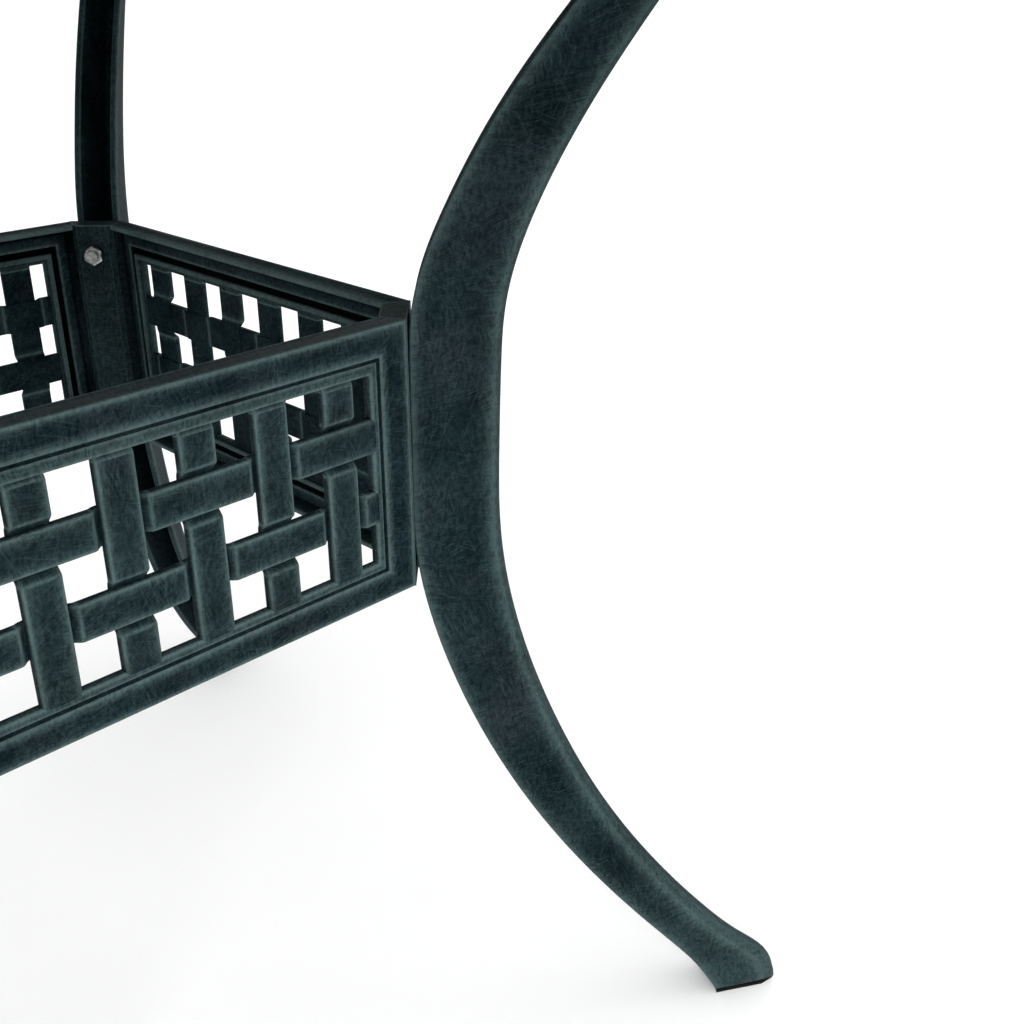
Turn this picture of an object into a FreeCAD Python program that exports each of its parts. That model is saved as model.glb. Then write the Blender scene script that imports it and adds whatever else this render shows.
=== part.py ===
"""Square garden table in cast aluminium, millimetres, +Z up.

The origin is on the floor under the middle of the table. +X is the right side, -Y the front.
Four curved channel legs stand on the diagonals. They are bolted outside the four corner posts
of a square stretcher frame, whose sides are basket-weave lattice castings, and they carry a
lattice tabletop with a parasol hole.
"""
import FreeCAD, Part
import math
import os

from FreeCAD import Rotation, Vector

# ---- driving dimensions -------------------------------------------------------------------
TABLE_SIDE = 900.0
TABLE_HEIGHT = 740.0
TOP_DEPTH = 24.0                # from the top face down to the skirt's lower edge

FRAME_SIDE = 390.0              # over the outer faces of two opposite lattice panels
FRAME_TOP = 528.0
FRAME_BOTTOM = 355.5
CORNER_FACE = 42.2              # width of the bevelled corner that each leg is bolted to
FLANGE_DEPTH = 16.8             # how far the frame's flanges reach inwards
FLANGE_WALL = 4.0
PLATE_WALL = 6.4                # the panel's border plate

BORDER_TOP = 20.0               # panel edge to groove
BORDER_BOTTOM = 20.7
BORDER_END = 23.1
GROOVE_WIDTH = 1.8
GROOVE_DEPTH = 1.8
RIM_TOP = 7.2                   # groove to lattice openings
RIM_BOTTOM = 5.4
RIM_END = 5.3
RIM_SETBACK = 0.5               # the inner rim stands this far behind the border's face
RIDGE_DEPTH = 9.2               # back of the raised ring round the lattice, from the outer face
RIDGE_WIDTH = 4.0
EDGE_BEVEL = 1.2

STRAP_WIDTH = 21.8
STRAP_COLUMNS = 6
STRAP_ROWS = 2
STRAP_OVER = 1.2                # front of a strap where it passes over, from the outer face
STRAP_UNDER = 4.2               # front of a strap where it passes under
STRAP_BACK_OVER = 6.0
STRAP_BACK_UNDER = 6.9
STRAP_SLOPE = 5.0               # length of the slope between the two levels
STRAP_BEVEL = 0.9
STRAP_OVERLAP = 2.0             # how far a strap's end runs into the rim's casting

POST_WALL = 5.0
POST_BEVEL = 2.6

# Leg sections from the top down, each across the leg from its inner edge to its outer edge:
# inner distance from the table's axis, inner height, outer distance, outer height,
# half width of the flank's outer end, depth of the outer bevel. The frame's corner plane is
# the zero of the two distances.
LEG_SECTIONS = (
    (127.0, 735.7, 153.5, 717.0, 9.0, 3.0),
    (92.7, 695.0, 122.7, 673.0, 9.0, 3.0),
    (54.8, 643.9, 91.0, 621.0, 9.0, 3.0),
    (21.4, 584.8, 65.1, 563.7, 9.0, 3.0),
    (3.4, 537.2, 56.3, 526.5, 9.2, 3.2),
    (0.2, 500.0, 54.3, 497.0, 9.2, 3.2),
    (-0.4, 440.0, 52.9, 441.0, 9.2, 3.2),
    (0.3, 378.0, 53.7, 383.0, 9.2, 3.2),
    (14.0, 310.6, 62.8, 324.1, 9.2, 3.2),
    (42.8, 236.4, 83.7, 257.5, 9.0, 3.4),
    (92.4, 151.8, 123.6, 173.9, 8.8, 3.6),
    (153.0, 77.9, 176.0, 100.2, 8.5, 4.4),
    (180.9, 48.8, 205.1, 68.4, 8.2, 5.4),
    (198.3, 29.0, 233.3, 43.3, 7.8, 6.6),
    (210.9, 10.0, 257.9, 19.0, 7.4, 8.5),
    (214.8, 2.5, 261.8, 2.5, 7.3, 9.5),
    (217.5, -6.0, 261.8, -6.0, 7.2, 9.5),
)
UPPER_LEG_HEIGHT = 180.0        # from the frame's top to the pads, as the sections are drawn
LEG_STEPS = 32                  # even cross-sections that the casting is drawn through
LEG_HALF_WIDTH = 16.25          # at the inner edge
LEG_LIP_BEVEL = 3.0
LEG_TIP_NARROWING = 4.0         # the bevel takes this off the flank's half width
LEG_WALL = 5.0
LEG_WEB = 6.5                   # thickness of the channel's outer wall
LEG_BLOCK_DEPTH = 16.0          # solid block behind the inner edge where the studs go in
LEG_BLOCK_MARGIN = 8.0          # the block stops this far inside the frame's height
FOOT_SOLID_HEIGHT = 68.0        # the channel ends above this height
LEG_PAD_THICKNESS = 8.0
LEG_PAD_WIDTH = 96.0
LEG_PAD_LENGTH = 52.0
LEG_PAD_CORNER = 9.0

GLIDE_THICKNESS = 2.5
GLIDE_INSET = 0.8
GLIDE_STEM_RADIUS = 4.0
GLIDE_STEM_LENGTH = 12.0
GLIDE_CLEARANCE = 0.05

STUD_RADIUS = 4.0               # M8
STUD_HOLE_RADIUS = 4.5
STUD_FROM_EDGE = 22.0           # from the frame's top and bottom edges
STUD_IN_LEG = 12.0
STUD_PROUD = 2.5
NUT_ACROSS_FLATS = 13.0
NUT_HEIGHT = 6.5
NUT_CHAMFER = 0.8

TOP_BOLT_RADIUS = 3.0           # M6
TOP_BOLT_HOLE_RADIUS = 3.3
TOP_BOLT_SPACING = 70.0
TOP_BOLT_HEAD_FLATS = 10.0
TOP_BOLT_HEAD_HEIGHT = 4.0
TOP_BOLT_IN_BOSS = 12.0
WASHER_RADIUS = 6.0
WASHER_THICKNESS = 1.6

TOP_CORNER_RADIUS = 45.0
TOP_PLATE = 5.0
TOP_SKIRT_WALL = 6.0
TOP_BORDER = 46.0
TOP_EDGE_BEVEL = 3.0
TOP_STRAP_COUNT = 18
TOP_STRAP_OVER = 0.6            # below the top face
TOP_STRAP_UNDER = 2.4
TOP_RIB_WALL = 5.0
HUB_RADIUS = 75.0
HUB_BOSS_RADIUS = 34.0
PARASOL_HOLE_RADIUS = 25.0

# ---- worked out from them ------------------------------------------------------------------
FRAME_HEIGHT = FRAME_TOP - FRAME_BOTTOM
PANEL_LENGTH = FRAME_SIDE - 2 * CORNER_FACE * math.sin(math.radians(45))
CORNER_PLANE = (FRAME_SIDE + PANEL_LENGTH) / 2 / math.sqrt(2)
MITRE = FLANGE_DEPTH * math.tan(math.radians(22.5))
TOP_UNDERSIDE = TABLE_HEIGHT - TOP_DEPTH
LEG_TOP = TOP_UNDERSIDE - LEG_PAD_THICKNESS
UPPER_LEG_STRETCH = (LEG_TOP - FRAME_TOP) / UPPER_LEG_HEIGHT
STUD_HEIGHTS = (FRAME_TOP - STUD_FROM_EDGE, FRAME_BOTTOM + STUD_FROM_EDGE)
LEG_NAMES = ("front_right", "back_right", "back_left", "front_left")
SIDE_NAMES = ("front", "right", "back", "left")


def save(shape, name):
    """Writes one piece, or one group of identical pieces, to parts/."""
    shape.exportStep(os.path.join("parts", name + ".step"))


def turned(shape, quarter_turns):
    """A copy turned about the table's axis."""
    copy = shape.copy()
    copy.rotate(Vector(0, 0, 0), Vector(0, 0, 1), 90.0 * quarter_turns)
    return copy


def box(x0, x1, y0, y1, z0, z1):
    return Part.makeBox(x1 - x0, y1 - y0, z1 - z0, Vector(x0, y0, z0))


def face_of(points):
    return Part.Face(Part.makePolygon([Vector(*p) for p in points] + [Vector(*points[0])]))


def joined(solids):
    """One clean solid out of pieces that overlap."""
    return solids[0].multiFuse(solids[1:]).removeSplitter()


def hexagon_prism(flats, height, chamfer):
    """Hexagonal bar along +Z from the origin, its outer end turned down like a nut's."""
    corner = flats / math.sqrt(3)
    points = [(corner * math.cos(math.radians(60 * k)), corner * math.sin(math.radians(60 * k)), 0)
              for k in range(6)]
    bar = face_of(points).extrude(Vector(0, 0, height))
    cone_rise = chamfer * 1.2
    turning = Part.makeCylinder(corner, height - cone_rise).fuse(
        Part.makeCone(corner, corner - 2 * chamfer, cone_rise, Vector(0, 0, height - cone_rise)))
    return bar.common(turning)


# ---- basket weave ---------------------------------------------------------------------------
def strap_profile(start, end, crossings, levels):
    """Outline of one strap seen from its side, as (distance along, depth) points.

    crossings holds (centre, passes_over) for each strap that it crosses, in order. levels are
    the depths of its front over, front under, back over and back under.
    """
    front_over, front_under, back_over, back_under = levels
    half = STRAP_WIDTH / 2
    front, back = [(start, front_over)], [(start, back_over)]
    for centre, passes_over in crossings:
        if passes_over:
            continue
        front += [(centre - half - STRAP_SLOPE, front_over), (centre - half, front_under),
                  (centre + half, front_under), (centre + half + STRAP_SLOPE, front_over)]
        back += [(centre - half - STRAP_SLOPE, back_over), (centre - half, back_under),
                 (centre + half, back_under), (centre + half + STRAP_SLOPE, back_over)]
    front.append((end, front_over))
    back.append((end, back_over))
    return front + back[::-1]


def bevelled_strap(face, width, bevel, is_front):
    """Extrudes a strap's side face to its width and bevels the edges of its front."""
    strap = face.extrude(width)
    edges = [e for e in strap.Edges if is_front(e)]
    return strap.makeChamfer(bevel, edges) if edges else strap


# ---- stretcher frame ------------------------------------------------------------------------
def lattice_panel():
    """The front panel: outer face towards -Y, in its place."""
    half = PANEL_LENGTH / 2
    y0 = -FRAME_SIDE / 2
    end_points = [(-half, y0), (half, y0), (half - MITRE, y0 + FLANGE_DEPTH),
                  (-half + MITRE, y0 + FLANGE_DEPTH)]
    blank = face_of([(x, y, FRAME_BOTTOM) for x, y in end_points]).extrude(
        Vector(0, 0, FRAME_HEIGHT))
    outer_edges = [e for e in blank.Edges
                   if all(abs(v.Y - y0) < 1e-6 for v in e.Vertexes)
                   and abs(e.Vertexes[0].Z - e.Vertexes[1].Z) < 1e-6]
    blank = blank.makeChamfer(EDGE_BEVEL, outer_edges)
    recess = box(-half - 1, half + 1, y0 + PLATE_WALL, y0 + FLANGE_DEPTH + 1,
                 FRAME_BOTTOM + FLANGE_WALL, FRAME_TOP - FLANGE_WALL)

    rim_x = half - BORDER_END
    rim_z0, rim_z1 = FRAME_BOTTOM + BORDER_BOTTOM, FRAME_TOP - BORDER_TOP
    open_x = rim_x - RIM_END
    open_z0, open_z1 = rim_z0 + RIM_BOTTOM, rim_z1 - RIM_TOP
    groove = box(-rim_x - GROOVE_WIDTH, rim_x + GROOVE_WIDTH, y0 - 1, y0 + GROOVE_DEPTH,
                 rim_z0 - GROOVE_WIDTH, rim_z1 + GROOVE_WIDTH)
    ridge = box(-rim_x, rim_x, y0 + RIM_SETBACK, y0 + RIDGE_DEPTH, rim_z0, rim_z1).cut(
        box(-rim_x + RIDGE_WIDTH, rim_x - RIDGE_WIDTH, y0 + PLATE_WALL, y0 + FLANGE_DEPTH,
            rim_z0 + RIDGE_WIDTH, rim_z1 - RIDGE_WIDTH))
    opening = box(-open_x, open_x, y0 - 1, y0 + FLANGE_DEPTH, open_z0, open_z1)
    casting = blank.cut(recess).cut(groove).fuse(ridge).cut(opening)

    strap_pitch = 2 * open_x / STRAP_COLUMNS
    columns = [open_x - (k + 0.5) * strap_pitch for k in range(STRAP_COLUMNS)]
    rows = [(open_z0 + open_z1) / 2 + ((STRAP_ROWS - 1) / 2 - j) * strap_pitch
            for j in range(STRAP_ROWS)]
    levels = (STRAP_OVER, STRAP_UNDER, STRAP_BACK_OVER, STRAP_BACK_UNDER)

    def on_front(edge):
        """True for a long edge of a strap's front where it passes over."""
        a, b = edge.Vertexes[0].Point, edge.Vertexes[-1].Point
        return (abs(a.y - y0 - STRAP_OVER) < 1e-6 and abs(b.y - y0 - STRAP_OVER) < 1e-6
                and abs(a.x - b.x) + abs(a.z - b.z) > STRAP_SLOPE)

    straps = []
    for k, x in enumerate(columns):
        crossings = [(z, (k + j) % 2 == 1) for j, z in reversed(list(enumerate(rows)))]
        outline = strap_profile(open_z0 - STRAP_OVERLAP, open_z1 + STRAP_OVERLAP, crossings, levels)
        side = face_of([(x - STRAP_WIDTH / 2, y0 + depth, z) for z, depth in outline])
        straps.append(bevelled_strap(side, Vector(STRAP_WIDTH, 0, 0), STRAP_BEVEL, on_front))
    for j, z in enumerate(rows):
        crossings = [(x, (k + j) % 2 == 0) for k, x in reversed(list(enumerate(columns)))]
        outline = strap_profile(-open_x - STRAP_OVERLAP, open_x + STRAP_OVERLAP, crossings, levels)
        side = face_of([(x, y0 + depth, z - STRAP_WIDTH / 2) for x, depth in outline])
        straps.append(bevelled_strap(side, Vector(0, 0, STRAP_WIDTH), STRAP_BEVEL, on_front))
    return joined([casting] + straps)


def on_diagonal(shape):
    """Moves a piece drawn with +X as the outward direction to the front right diagonal."""
    copy = shape.copy()
    copy.rotate(Vector(0, 0, 0), Vector(0, 0, 1), -45.0)
    return copy


def stud_holes(x0, x1, radius):
    return [Part.makeCylinder(radius, x1 - x0, Vector(x0, 0, z), Vector(1, 0, 0))
            for z in STUD_HEIGHTS]


def corner_post():
    """Hollow corner casting, closed at the top, drawn with +X outwards."""
    outer_half = CORNER_FACE / 2
    inner_half = outer_half - MITRE
    x1, x0 = CORNER_PLANE, CORNER_PLANE - FLANGE_DEPTH
    side = Vector(x0 - x1, inner_half - outer_half, 0).normalize()
    bevel_x, bevel_y = x0 - side.x * POST_BEVEL, inner_half - side.y * POST_BEVEL
    outline = [(x1, -outer_half), (x1, outer_half), (bevel_x, bevel_y),
               (x0, inner_half - POST_BEVEL), (x0, -inner_half + POST_BEVEL), (bevel_x, -bevel_y)]
    post = face_of([(x, y, FRAME_BOTTOM) for x, y in outline]).extrude(
        Vector(0, 0, FRAME_HEIGHT))
    hollow_outer = outer_half - POST_WALL * 1.6
    hollow_inner = inner_half - POST_WALL
    hollow = face_of([(x1 - POST_WALL, -hollow_outer, FRAME_BOTTOM - 1),
                      (x1 - POST_WALL, hollow_outer, FRAME_BOTTOM - 1),
                      (x0 + POST_WALL, hollow_inner, FRAME_BOTTOM - 1),
                      (x0 + POST_WALL, -hollow_inner, FRAME_BOTTOM - 1)]).extrude(
        Vector(0, 0, FRAME_HEIGHT - FLANGE_WALL + 1))
    post = post.cut(hollow)
    for hole in stud_holes(x0 - 1, x1 + 1, STUD_HOLE_RADIUS):
        post = post.cut(hole)
    return post


# ---- legs -----------------------------------------------------------------------------------
def stretched(z):
    """A section's height, stretched above the frame so that the leg reaches the tabletop."""
    return z if z <= FRAME_TOP else FRAME_TOP + (z - FRAME_TOP) * UPPER_LEG_STRETCH


LEG_ROWS = [(inner_r, stretched(inner_z), outer_r, stretched(outer_z), half, bevel)
            for inner_r, inner_z, outer_r, outer_z, half, bevel in LEG_SECTIONS]


def leg_edges():
    """Curves of the leg's inner edge, outer edge and outer shape, with one shared parameter.

    The third curve holds the outer half width as x and the depth of the outer bevel as y.
    """
    inner = [Vector(CORNER_PLANE + r, 0, z) for r, z, *_ in LEG_ROWS]
    outer = [Vector(CORNER_PLANE + r, 0, z) for _, _, r, z, *_ in LEG_ROWS]
    along = [0.0]
    for k in range(1, len(LEG_ROWS)):
        step = (inner[k] - inner[k - 1]).Length + (outer[k] - outer[k - 1]).Length
        along.append(along[-1] + step / 2)
    tips = [Vector(half, bevel, t) for (*_, half, bevel), t in zip(LEG_ROWS, along)]
    curves = []
    for points in (inner, outer, tips):
        curve = Part.BSplineCurve()
        curve.interpolate(Points=points, Parameters=along)
        curves.append(curve)
    return curves, along[-1]


def leg_stations():
    """Even steps along the leg: inner point, outer point, outer half width, outer bevel."""
    (inner, outer, tips), length = leg_edges()
    for k in range(LEG_STEPS + 1):
        t = length * k / LEG_STEPS
        tip = tips.value(t)
        yield inner.value(t), outer.value(t), tip.x, tip.y


def leg_section(inner, outer, offsets):
    """One cross-section of the leg as a closed wire.

    offsets are (share, depth, half width) points of one half: depth is measured from the inner
    edge when share is 0 and from the outer edge when share is 1.
    """
    depth = (outer - inner).Length
    across = (outer - inner).normalize()
    half = [(inner + across * (share * depth + offset), width) for share, offset, width in offsets]
    points = [p + Vector(0, w, 0) for p, w in half] + [p - Vector(0, w, 0) for p, w in half[::-1]]
    return Part.makePolygon(points + [points[0]])


def leg_body():
    """The whole leg's outside as one smooth solid."""
    wires = [leg_section(inner, outer, (
        (0, 0, LEG_HALF_WIDTH - LEG_LIP_BEVEL * 0.7),
        (0, LEG_LIP_BEVEL, LEG_HALF_WIDTH),
        (1, -tip_bevel, tip_half),
        (1, 0, max(tip_half - LEG_TIP_NARROWING, 1.0))))
        for inner, outer, tip_half, tip_bevel in leg_stations()]
    return Part.makeLoft(wires, True, False)


def leg_channel():
    """The hollow that is open towards the inside of the table."""
    wires = [leg_section(inner, outer, (
        (0, -LEG_WALL, LEG_HALF_WIDTH - LEG_WALL),
        (0, LEG_LIP_BEVEL, LEG_HALF_WIDTH - LEG_WALL),
        (1, -LEG_WEB, tip_half - LEG_WALL * 0.8)))
        for inner, outer, tip_half, _ in leg_stations() if inner.z > FOOT_SOLID_HEIGHT]
    return Part.makeLoft(wires, True, False)


def top_pad_centre():
    """Distance from the table's axis of the middle of the leg's top pad."""
    upper, lower = LEG_ROWS[0], LEG_ROWS[1]

    def at(r_index, z_index):
        share = (LEG_TOP - lower[z_index]) / (upper[z_index] - lower[z_index])
        return lower[r_index] + share * (upper[r_index] - lower[r_index])
    return CORNER_PLANE + (at(0, 1) + at(2, 3)) / 2


def pad_holes(radius, z0, z1):
    x = top_pad_centre()
    return [Part.makeCylinder(radius, z1 - z0, Vector(x, side * TOP_BOLT_SPACING / 2, z0))
            for side in (-1, 1)]


def rounded_plate(x0, x1, y0, y1, z0, z1, corner):
    plate = box(x0, x1, y0, y1, z0, z1)
    upright = [e for e in plate.Edges if abs(e.Vertexes[0].Z - e.Vertexes[1].Z) > (z1 - z0) / 2]
    return plate.makeFillet(corner, upright)


def glide_centre():
    """Distance from the table's axis of the middle of the foot."""
    return CORNER_PLANE + (LEG_ROWS[-2][0] + LEG_ROWS[-2][2]) / 2 - 5.0


def leg():
    """One leg casting, drawn with +X outwards."""
    reach = CORNER_PLANE + TABLE_SIDE
    body = leg_body()
    body = body.cut(leg_channel())
    block_z0 = FRAME_BOTTOM + LEG_BLOCK_MARGIN
    block_z1 = FRAME_TOP - LEG_BLOCK_MARGIN
    block_half = LEG_HALF_WIDTH - LEG_WALL + 0.5
    block = box(CORNER_PLANE, CORNER_PLANE + LEG_BLOCK_DEPTH, -block_half, block_half,
                block_z0, block_z1)
    body = body.fuse(block)
    body = body.cut(box(0, CORNER_PLANE, -TABLE_SIDE, TABLE_SIDE,
                        FRAME_BOTTOM - TABLE_SIDE, FRAME_TOP + LEG_PAD_THICKNESS))
    body = body.common(box(0, reach, -TABLE_SIDE, TABLE_SIDE, GLIDE_THICKNESS, LEG_TOP + 0.5))
    x = top_pad_centre()
    pad = rounded_plate(x - LEG_PAD_LENGTH / 2, x + LEG_PAD_LENGTH / 2, -LEG_PAD_WIDTH / 2,
                        LEG_PAD_WIDTH / 2, LEG_TOP, TOP_UNDERSIDE, LEG_PAD_CORNER)
    body = body.fuse(pad)
    for hole in pad_holes(TOP_BOLT_HOLE_RADIUS, LEG_TOP - 1, TOP_UNDERSIDE + 1):
        body = body.cut(hole)
    for hole in stud_holes(CORNER_PLANE - 1, CORNER_PLANE + STUD_IN_LEG, STUD_RADIUS):
        body = body.cut(hole)
    socket = Part.makeCylinder(GLIDE_STEM_RADIUS + GLIDE_CLEARANCE, GLIDE_STEM_LENGTH + 1,
                               Vector(glide_centre(), 0, GLIDE_THICKNESS - 0.5))
    return body.cut(socket)


def foot_glide():
    """Plastic glide under the toe, with its stem in the leg."""
    inner_r, _, outer_r, _, tip_half, tip_bevel = LEG_ROWS[-2]
    x0 = CORNER_PLANE + inner_r + GLIDE_INSET
    x1 = CORNER_PLANE + outer_r - GLIDE_INSET
    heel_half = LEG_HALF_WIDTH - GLIDE_INSET
    outline = [(x0, -heel_half), (x1 - tip_bevel, -tip_half), (x1, -1.0),
               (x1, 1.0), (x1 - tip_bevel, tip_half), (x0, heel_half)]
    pad = face_of([(x, y, 0) for x, y in outline]).extrude(Vector(0, 0, GLIDE_THICKNESS))
    stem = Part.makeCylinder(GLIDE_STEM_RADIUS, GLIDE_THICKNESS + GLIDE_STEM_LENGTH - 0.5,
                             Vector(glide_centre(), 0, 0))
    return pad.fuse(stem).removeSplitter()


# ---- fasteners ------------------------------------------------------------------------------
def frame_stud(z):
    x0 = CORNER_PLANE - FLANGE_DEPTH - NUT_HEIGHT - STUD_PROUD
    return Part.makeCylinder(STUD_RADIUS, CORNER_PLANE + STUD_IN_LEG - x0, Vector(x0, 0, z),
                             Vector(1, 0, 0))


def frame_nut(z):
    nut = hexagon_prism(NUT_ACROSS_FLATS, NUT_HEIGHT, NUT_CHAMFER)
    nut = nut.cut(Part.makeCylinder(STUD_RADIUS, NUT_HEIGHT))
    nut.Placement = FreeCAD.Placement(Vector(CORNER_PLANE - FLANGE_DEPTH, 0, z),
                                      Rotation(Vector(0, 0, 1), Vector(-1, 0, 0)))
    return nut


def top_bolt(side):
    base = LEG_TOP - WASHER_THICKNESS
    head = hexagon_prism(TOP_BOLT_HEAD_FLATS, TOP_BOLT_HEAD_HEIGHT, NUT_CHAMFER)
    head.rotate(Vector(0, 0, 0), Vector(1, 0, 0), 180)
    shank = Part.makeCylinder(TOP_BOLT_RADIUS,
                              WASHER_THICKNESS + LEG_PAD_THICKNESS + TOP_BOLT_IN_BOSS)
    bolt = head.fuse(shank)
    bolt.translate(Vector(top_pad_centre(), side * TOP_BOLT_SPACING / 2, base))
    return bolt


def top_washer(side):
    ring = Part.makeCylinder(WASHER_RADIUS, WASHER_THICKNESS).cut(
        Part.makeCylinder(TOP_BOLT_HOLE_RADIUS, WASHER_THICKNESS))
    ring.translate(Vector(top_pad_centre(), side * TOP_BOLT_SPACING / 2,
                          LEG_TOP - WASHER_THICKNESS))
    return ring


def on_all_corners(solids):
    """The same small pieces at the four corners, as one group of separate solids."""
    return Part.makeCompound([turned(on_diagonal(s), k) for k in range(4) for s in solids])


# ---- tabletop -------------------------------------------------------------------------------
def tabletop():
    """Lattice casting with a rounded rim, a skirt, leg bosses and the parasol hub."""
    half = TABLE_SIDE / 2
    z1, z0 = TABLE_HEIGHT, TOP_UNDERSIDE
    blank = rounded_plate(-half, half, -half, half, z0, z1, TOP_CORNER_RADIUS)
    top_edges = [e for e in blank.Edges if all(abs(v.Z - z1) < 1e-6 for v in e.Vertexes)]
    blank = blank.makeChamfer(TOP_EDGE_BEVEL, top_edges)
    inside = half - TOP_SKIRT_WALL
    hollow = rounded_plate(-inside, inside, -inside, inside, z0 - 1, z1 - TOP_PLATE,
                           TOP_CORNER_RADIUS - TOP_SKIRT_WALL)
    field = half - TOP_BORDER
    opening = box(-field, field, -field, field, z0 - 1, z1 + 1)
    groove_in = field + RIM_END
    groove_out = groove_in + GROOVE_WIDTH
    groove = box(-groove_out, groove_out, -groove_out, groove_out, z1 - GROOVE_DEPTH, z1 + 1).cut(
        box(-groove_in, groove_in, -groove_in, groove_in, z1 - GROOVE_DEPTH, z1 + 1))
    rim = blank.cut(hollow).cut(opening).cut(groove)

    gap = (2 * field - TOP_STRAP_COUNT * STRAP_WIDTH) / (TOP_STRAP_COUNT + 1)
    centres = [-field + gap + STRAP_WIDTH / 2 + k * (gap + STRAP_WIDTH)
               for k in range(TOP_STRAP_COUNT)]
    levels = (TOP_STRAP_OVER, TOP_STRAP_UNDER, TOP_PLATE, TOP_PLATE)
    straps = []
    for k, centre in enumerate(centres):
        reach = field + STRAP_OVERLAP
        across = [(c, (k + j) % 2 == 0) for j, c in enumerate(centres)]
        outline = strap_profile(-reach, reach, across, levels)
        side = face_of([(x, centre - STRAP_WIDTH / 2, z1 - d) for x, d in outline])
        straps.append(side.extrude(Vector(0, STRAP_WIDTH, 0)))
        along = [(c, (k + j) % 2 == 1) for j, c in enumerate(centres)]
        outline = strap_profile(-reach, reach, along, levels)
        side = face_of([(centre - STRAP_WIDTH / 2, y, z1 - d) for y, d in outline])
        straps.append(side.extrude(Vector(STRAP_WIDTH, 0, 0)))

    hub = Part.makeCylinder(HUB_RADIUS, TOP_PLATE, Vector(0, 0, z1 - TOP_PLATE)).fuse(
        Part.makeCylinder(HUB_BOSS_RADIUS, TOP_DEPTH, Vector(0, 0, z0)))
    top = rim.multiFuse(straps + [hub])

    boss_radius_at = top_pad_centre()
    rib_half = TOP_RIB_WALL / 2
    rib_z1 = z1 - TOP_PLATE + 1
    rib = box(HUB_BOSS_RADIUS - 2, math.sqrt(2) * (half - TOP_SKIRT_WALL) - TOP_CORNER_RADIUS / 2,
              -rib_half, rib_half, z0 + 6, rib_z1)
    pad_boss = rounded_plate(boss_radius_at - LEG_PAD_LENGTH / 2, boss_radius_at + LEG_PAD_LENGTH / 2,
                             -LEG_PAD_WIDTH / 2, LEG_PAD_WIDTH / 2, z0, rib_z1, LEG_PAD_CORNER)
    arms = [turned(on_diagonal(s), k) for k in range(4) for s in (rib, pad_boss)]
    top = top.multiFuse(arms)
    holes = [turned(on_diagonal(h), k) for k in range(4)
             for h in pad_holes(TOP_BOLT_RADIUS, z0 - 1, z0 + TOP_BOLT_IN_BOSS)]
    pole = Part.makeCylinder(PARASOL_HOLE_RADIUS, TOP_DEPTH + 2, Vector(0, 0, z0 - 1))
    for hole in holes + [pole]:
        top = top.cut(hole)
    return top.removeSplitter()


def main():
    os.makedirs("parts", exist_ok=True)
    panel = lattice_panel()
    for turns, name in enumerate(SIDE_NAMES):
        save(turned(panel, turns), "lattice_panel_" + name)
    for prefix, piece in (("corner_post_", corner_post()), ("leg_", leg()),
                          ("foot_glide_", foot_glide())):
        for turns, name in enumerate(LEG_NAMES):
            save(turned(on_diagonal(piece), turns), prefix + name)
    save(on_all_corners([frame_stud(z) for z in STUD_HEIGHTS]), "frame_studs")
    save(on_all_corners([frame_nut(z) for z in STUD_HEIGHTS]), "frame_nuts")
    save(on_all_corners([top_bolt(side) for side in (-1, 1)]), "top_bolts")
    save(on_all_corners([top_washer(side) for side in (-1, 1)]), "top_washers")
    save(tabletop(), "tabletop")


main()
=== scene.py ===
"""Square garden table in cast aluminium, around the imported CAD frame. Metres, +Z up.

The lattice panels and the legs are rebuilt, with a softly woven lattice and rounded edges. The
corner posts and the tabletop keep the CAD's shape and get softened edges. The glides and the
fasteners are the CAD's own meshes. One worn, dry-brushed powder coat covers all castings.
"""
import bmesh
import bpy
import math

import numpy as np

from mathutils import Euler, Matrix, Vector


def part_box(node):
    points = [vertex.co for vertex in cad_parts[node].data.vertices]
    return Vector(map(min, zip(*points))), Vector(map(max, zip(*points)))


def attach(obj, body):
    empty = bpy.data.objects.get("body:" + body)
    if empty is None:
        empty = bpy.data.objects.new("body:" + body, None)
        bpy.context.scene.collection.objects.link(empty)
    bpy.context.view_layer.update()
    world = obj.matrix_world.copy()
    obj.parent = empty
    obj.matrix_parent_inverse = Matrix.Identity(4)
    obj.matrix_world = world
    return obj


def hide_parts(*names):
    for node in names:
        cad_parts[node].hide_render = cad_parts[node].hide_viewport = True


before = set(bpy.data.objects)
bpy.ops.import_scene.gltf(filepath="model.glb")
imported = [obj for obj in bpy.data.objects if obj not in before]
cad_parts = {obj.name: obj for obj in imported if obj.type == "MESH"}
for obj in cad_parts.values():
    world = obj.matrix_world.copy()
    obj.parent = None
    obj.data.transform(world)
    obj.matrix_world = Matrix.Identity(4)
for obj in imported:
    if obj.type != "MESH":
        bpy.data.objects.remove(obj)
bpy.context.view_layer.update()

MM = 0.001

# ---- camera --------------------------------------------------------------------------------------
CAMERA_PLACE = (-0.2831, -0.7119, 0.7248)
CAMERA_PITCH = 64.994           # degrees from straight down
CAMERA_HEADING = -45.985        # degrees from +Y, anticlockwise
CAMERA_LENS = 43.18
CAMERA_SENSOR = 36.0

camera = bpy.data.objects.new("camera", bpy.data.cameras.new("camera"))
camera.location = CAMERA_PLACE
camera.rotation_euler = Euler((math.radians(CAMERA_PITCH), 0, math.radians(CAMERA_HEADING)))
camera.data.lens = CAMERA_LENS
camera.data.sensor_width = CAMERA_SENSOR
bpy.context.collection.objects.link(camera)
bpy.context.scene.camera = camera
bpy.context.scene.view_settings.view_transform = "Standard"

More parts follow.
